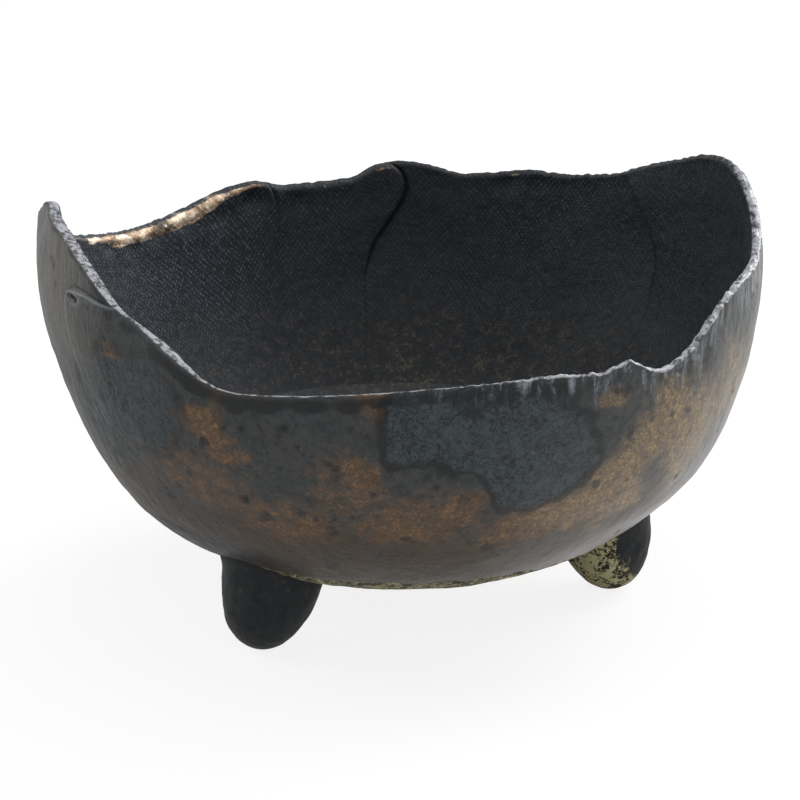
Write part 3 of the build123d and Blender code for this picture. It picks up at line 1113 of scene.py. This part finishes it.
def outerGlaze(r, mottle, grain, cloud):
    # slate above, umber and olive below, soft bronze islands drawn lighter on the right flank as
    # painted light, crawled patches, streaks, pools with painted shade, painted shade in the pits,
    # painted sheen on the tip and down the flutes, painted highlights on the lap edges
    streaks = drawnDown(r, 1.0, 11.0, 9.0)
    lean = cloud + (r.value("low") - 0.45) * 0.35
    colour = r.mix(r.between(lean, 0.38, 0.60), glaze["slateGrey"], glaze["umber"])
    colour = r.mix(r.value("low") * 0.55, colour, glaze["olive"])
    colour = r.mix(r.between(mottle, 0.56, 0.30) * 0.5, colour, glaze["ink"])
    dust = r.noise(900, 5, 0.75)
    colour = r.mix(r.between(dust, 0.52, 0.36) * 0.45, colour, glaze["ink"])
    colour = r.mix(r.between(dust, 0.56, 0.72) * 0.30, colour, glaze["pearl"])
    strands = r.between(streaks, 0.50, 0.72) * r.between(r.value("smooth"), 0.5, 0.1)
    colour = r.mix(strands * 0.7, colour, glaze["crawlLight"])

    amount = r.value("bronze") * 0.95 + (mottle - 0.5) * 0.8 + (cloud - 0.5) * 0.9
    island = r.between(amount, 0.02, 0.85)
    # painted light: the bronze on the smooth right flank is drawn lighter and golder where the light
    # falls
    light = r.between(r.value("smooth"), 0.62, 0.95)
    fine = r.noise(640, 5, 0.72, 0.4) * 0.7 + mottle * 0.3 + (grain - 0.5) * 0.6
    soft = r.between(fine, 0.36, 0.64)
    bronze = r.mix(light, glaze["bronze"], glaze["litBronze"])
    colour = r.mix(island * (soft * 0.45 + 0.42), colour, bronze)
    grains = r.between(fine + island * 0.06, 0.54, 0.78) * island
    colour = r.mix(grains * 0.62, colour, r.mix(light, glaze["bronzeGrain"], glaze["litBronzeGrain"]))

    patch = r.between(r.value("slate") + (mottle - 0.5) * 0.5, 0.34, 0.60)
    wrinkle = threads(r, 170, 1.8) * 0.55 + threads(r, 330, 1.2) * 0.45
    raised = wrinkle * 0.85 + r.between(mottle, 0.3, 0.7) * 0.15
    crawl = r.mix(raised, glaze["crawlDark"], glaze["crawlLight"])
    colour = r.mix(patch * 0.95, colour, crawl)
    outline = r.between(r.value("slateEdge") + (mottle - 0.5) * 0.45, 0.12, 0.55)
    colour = r.mix(outline * 0.8, colour, glaze["ink"])

    # painted sheen on the tip's outside, in the pearl colour
    veil = r.between(streaks + (grain - 0.5) * 0.3, 0.36, 0.66)
    colour = r.mix(r.value("pearl") * (veil * 0.7 + 0.2), colour, glaze["pearl"])
    # pooled glaze, and painted shade under the rim and in the fold's slot
    poolAndShadeMask = r.between(r.value("poolAndShade") + (mottle - 0.5) * 0.7, 0.22, 0.75)
    colour = r.mix(poolAndShadeMask * 0.85, colour, glaze["ink"])
    # dark spots in the glaze, and painted shade in the pits
    spots = r.between(r.noise(118, 2, 0.5), 0.37, 0.30)
    colour = r.mix((spots * 0.65).most(r.value("pitShade") * 0.85), colour, glaze["ink"])
    # the torn flutes under the rim are darkened, then painted sheen is drawn down them in thin lines
    torn = r.value("sheenStreak")
    colour = r.mix(r.between(torn, 0.25, 0.8) * 0.45, colour, glaze["ink"])
    ribs = drawnDown(r, 2.4, 13.0, 5.0) + (mottle - 0.5) * 0.5 + (grain - 0.5) * 0.3
    sheenHairs = r.between(ribs + torn * 0.08, 0.54, 0.84)
    colour = r.mix(sheenHairs * r.between(torn, 0.02, 0.7) * 0.8, colour, glaze["sheenStreak"])
    # painted highlight along the outer laps' edges and the fold's lip
    colour = r.mix(r.value("worn") * 0.45, colour, glaze["sheenStreak"])
    return colour, island, patch, wrinkle, streaks


def innerGlaze(r, mottle):
    # near black, lighter where painted light falls on the hollow, with light dots where cloth pressed
    # the clay, shown strongest in that painted light, fingerprints, speckle low down, painted shadow
    # beside the laps' edges
    hollowLight, away = r.value("hollowLight"), r.value("swirl")
    bend = (r.noise(21, 3, 0.55) - 0.5) * 30
    weave = (r.value("around") * 3.2 + bend).sine() * (r.value("below") * 2.6 + bend * 0.7).sine()
    fingers = r.between(away, 8.5, 3.0) * 0.5
    weave = weave * (1 - fingers) + (away * 4.3 + bend * 0.25).sine() * fingers
    dots = r.between(weave * 0.8 + (r.noise(620, 4, 0.68) - 0.5) * 4.6, 0.0, 1.3)
    dots = dots * (1 - r.value("low") * 0.85)
    cloth = r.between(r.noise(24, 3, 0.6), 0.36, 0.66)
    # painted light: the hollow is lighter where its wall faces the light
    lit = hollowLight * 0.55 + r.between(mottle, 0.35, 0.7) * 0.3
    colour = r.mix(lit, glaze["insideDark"], glaze["insideMid"])
    colour = r.mix(dots * (cloth * 0.12 + 0.10 + hollowLight * 0.78), colour, glaze["insideLight"])
    rust = r.between(r.noise(900, 4, 0.75) * 0.6 + mottle * 0.4, 0.50, 0.66)
    colour = r.mix(rust * r.value("low") * 0.62, colour, glaze["speckle"])
    # painted shadow beside the inner laps' edges
    colour = r.mix(r.value("shade") * 0.85, colour, glaze["lapShadow"])
    return colour, dots * (cloth * 0.6 + 0.4)


def wallGlaze():
    r = Recipe(bpy.data.materials.new("wallGlaze"))
    outside = r.between(r.value("outside"), 0.45, 0.55)
    grain = r.noise(1500, 3, 0.6)
    mottle = r.noise(260, 4, 0.62, 0.5)
    cloud = r.noise(52, 4, 0.6, 0.8)
    outer, island, patch, wrinkle, streaks = outerGlaze(r, mottle, grain, cloud)
    inner, dots = innerGlaze(r, mottle)
    colour = r.mix(outside, inner, outer)

    # bare clay low on the outside, bronze on the rolled rim with painted glints, pale torn edges that
    # are partly their own colour and partly a painted highlight on the rim's top
    bareShare = r.between(r.value("bare") * outside + (mottle - 0.5) * 0.3, 0.42, 0.6)
    colour = r.mix(bareShare, colour, bareClay(r, 0.58))
    blotch = r.noise(95, 4, 0.66, 0.6)
    goldShare = r.between(r.value("gold") + (mottle - 0.5) * 0.8 + (blotch - 0.5) * 0.4, 0.25, 0.62)
    rolled = r.mix(r.between(blotch, 0.36, 0.54), glaze["goldDark"], glaze["goldRim"])
    # painted glints on the rolled rim
    rolled = r.mix(r.between(r.noise(170, 3, 0.6), 0.47, 0.64) * 0.85, rolled, glaze["goldGlint"])
    colour = r.mix(goldShare * 0.9, colour, rolled)
    crust = r.noise(520, 5, 0.74)
    pits = r.between(crust + (mottle - 0.5) * 0.5 - r.value("pearl") * 0.05, 0.36, 0.54)
    # the pale torn edge, partly its own colour and partly a painted highlight on the rim's top
    torn = r.mix(pits, glaze["edgePit"], glaze["paleEdge"])
    paleShare = r.between(r.value("pale") + (mottle - 0.5) * 0.8 + (crust - 0.5) * 0.8, 0.26, 0.62)
    colour = r.mix(paleShare * 0.92, colour, torn)

    rougher = (mottle - 0.5) * 0.30 + (streaks - 0.5) * 0.25 * outside
    roughness = 0.52 - r.value("smooth") * outside * 0.12 + rougher + patch * outside * 0.04
    roughness = roughness + (1 - outside) * 0.06 + bareShare * 0.3 - goldShare * 0.16
    metallic = island * outside * 0.45 + 0.05 + goldShare * 0.45
    metallic = metallic * (1 - bareShare) * (1 - paleShare * 0.8)
    normal = r.bump(r.noise(340, 5, 0.62, 0.3), 0.0009, 0.55)
    flank = r.between(r.value("smooth"), 0.6, 0.2)
    height = dots * (1 - outside) * 0.6 + (wrinkle * patch + streaks * flank) * outside
    normal = r.bump(height, 0.00035, 0.8, normal)
    normal = r.bump(grain * 0.6 + crust * 0.8, 0.00024, 0.7, normal)
    others = {
        "Coat Weight": outside * r.value("gloss") * 0.75 * (1 - bareShare),
        "Coat Roughness": 0.32, "Coat IOR": 1.5,
        "IOR": 1.5, "Specular IOR Level": 0.14,
    }
    return r.finish(colour, roughness, metallic.least(1.0), normal, others)


def floorGlaze():
    r = Recipe(bpy.data.materials.new("floorGlaze"))
    outside = r.between(r.value("outside"), 0.45, 0.55)
    mottle = r.noise(240, 4, 0.62, 0.5)
    grain = r.noise(1500, 3, 0.6)
    inner = innerGlaze(r, mottle)[0]
    dark = r.mix(r.between(mottle, 0.4, 0.6), glaze["ink"], glaze["olive"])
    share = r.between(r.value("bare") + (mottle - 0.5) * 0.3, 0.40, 0.6)
    under = r.mix(share, dark, bareClay(r, 0.55))
    colour = r.mix(outside, inner, under)
    roughness = 0.5 + outside * 0.32 + (mottle - 0.5) * 0.2
    metallic = (1 - outside) * 0.05
    normal = r.bump(r.noise(340, 5, 0.62, 0.3), 0.0009, 0.6)
    normal = r.bump(grain, 0.0002, 0.7, normal)
    return r.finish(colour, roughness, metallic, normal, {"IOR": 1.5, "Specular IOR Level": 0.2})


def footGlaze():
    r = Recipe(bpy.data.materials.new("footGlaze"))
    mottle = r.noise(230, 4, 0.62, 0.5)
    grain = r.noise(1500, 3, 0.6)
    dark = r.mix(r.between(mottle, 0.35, 0.7), glaze["ink"], glaze["footGrey"])
    dark = r.mix(r.between(r.noise(380, 3, 0.65), 0.62, 0.72) * 0.25, dark, glaze["speckle"])
    share = r.between(r.value("bare") + (mottle - 0.5) * 0.8, 0.15, 0.75)
    colour = r.mix(share.least(0.9), dark, bareClay(r, 0.62 - share * 0.10))
    colour = r.mix(r.value("seam") * 0.6, colour, glaze["ink"])
    roughness = 0.58 + share * 0.3 + (mottle - 0.5) * 0.2
    metallic = (1 - share) * 0.05
    normal = r.bump(r.noise(330, 5, 0.62, 0.3), 0.0008, 0.6)
    normal = r.bump(grain, 0.0002, 0.7, normal)
    return r.finish(colour, roughness, metallic, normal, {"IOR": 1.5, "Specular IOR Level": 0.1})


finishes = {"wall": wallGlaze(), "floor": floorGlaze(), "foot": footGlaze()}
for name, piece in pieces.items():
    piece.data.materials.append(finishes[name.split("_")[0]])
print("finishes set")

# Camera, stage and light.

view = {"elevation": 20.0, "distance": 1.2, "aim": 0.066, "lens": 159.4, "sensor": 36.0}
studio = {
    "floorSize": 8.0, "floorColour": (0.86, 0.86, 0.86),
    "floorWhite": 0.85,  # share of plain white where the floor is seen
    "ambient": 0.3,
    "lampAim": 0.08,  # height above the table that the lamps face
}


def addCamera():
    # The camera stands in front and above, on a circle round the aim point on the bowl's axis.
    up = math.radians(view["elevation"])
    camera = bpy.data.cameras.new("camera")
    camera.lens = view["lens"]
    camera.sensor_width = view["sensor"]
    camera.clip_start = 0.01
    holder = bpy.data.objects.new("camera", camera)
    reach = view["distance"]
    holder.location = (0, -reach * math.cos(up), view["aim"] + reach * math.sin(up))
    holder.rotation_euler = (math.pi / 2 - up, 0, 0)
    bpy.context.scene.collection.objects.link(holder)
    bpy.context.scene.camera = holder


def seenWhite(r):
    # 1 for rays from the camera, a mirror or glass, 0 for the rays that light things
    kinds = ("Is Camera Ray", "Is Glossy Ray", "Is Transmission Ray")
    seen, mirrored, through = [r.node("ShaderNodeLightPath", {}, {}, kind) for kind in kinds]
    return seen.most(mirrored).most(through)


def addFloor():
    # A pale floor that keeps the bowl's shadow and is mostly white where it is seen.
    half = studio["floorSize"] / 2
    corners = [(-half, -half, 0), (half, -half, 0), (half, half, 0), (-half, half, 0)]
    mesh = bpy.data.meshes.new("studioFloor")
    mesh.from_pydata(corners, [], [(0, 1, 2, 3)])
    floor = bpy.data.objects.new("studioFloor", mesh)
    bpy.context.scene.collection.objects.link(floor)
    r = Recipe(bpy.data.materials.new("studioFloor"))
    plain = r.node("ShaderNodeBsdfDiffuse", {}, {"Color": (*studio["floorColour"], 1)})
    glow = r.node("ShaderNodeEmission", {}, {})
    white = seenWhite(r) * studio["floorWhite"]
    r.close(r.node("ShaderNodeMixShader", {}, {0: white, 1: plain, 2: glow}))
    mesh.materials.append(r.owner)


def addWorld():
    # white where it is seen, the ambient grey where it lights things
    world = bpy.data.worlds.new("studio")
    bpy.context.scene.world = world
    r = Recipe(world, "ShaderNodeOutputWorld")
    strength = seenWhite(r) * (1 - studio["ambient"]) + studio["ambient"]
    r.close(r.node("ShaderNodeBackground", {}, {"Color": (1, 1, 1, 1), "Strength": strength}))


# Each lamp: where it stands, its width and height, its power. They all face the bowl's middle.
lamps = {
    "backRight": {"place": (0.85, 0.7, 0.7), "size": (0.8, 0.9), "power": 21},
    "left": {"place": (-1.1, 0.25, 0.75), "size": (0.7, 0.9), "power": 9.5},
    "top": {"place": (0.1, 0.1, 1.5), "size": (1.2, 1.2), "power": 12},
    "front": {"place": (0.35, -1.5, 0.9), "size": (1.2, 0.8), "power": 9},
}


def addLamp(name, own):
    light = bpy.data.lights.new(name, "AREA")
    light.shape = "RECTANGLE"
    light.size, light.size_y = own["size"]
    light.energy = own["power"]
    holder = bpy.data.objects.new(name, light)
    holder.location = own["place"]
    x, y, z = own["place"]
    holder.rotation_euler = (math.atan2(math.hypot(x, y), z - studio["lampAim"]), 0, math.atan2(x, -y))
    bpy.context.scene.collection.objects.link(holder)


addCamera()
addFloor()
addWorld()
for name, own in lamps.items():
    addLamp(name, own)
bpy.context.scene.view_settings.view_transform = "Standard"
print("stage set")
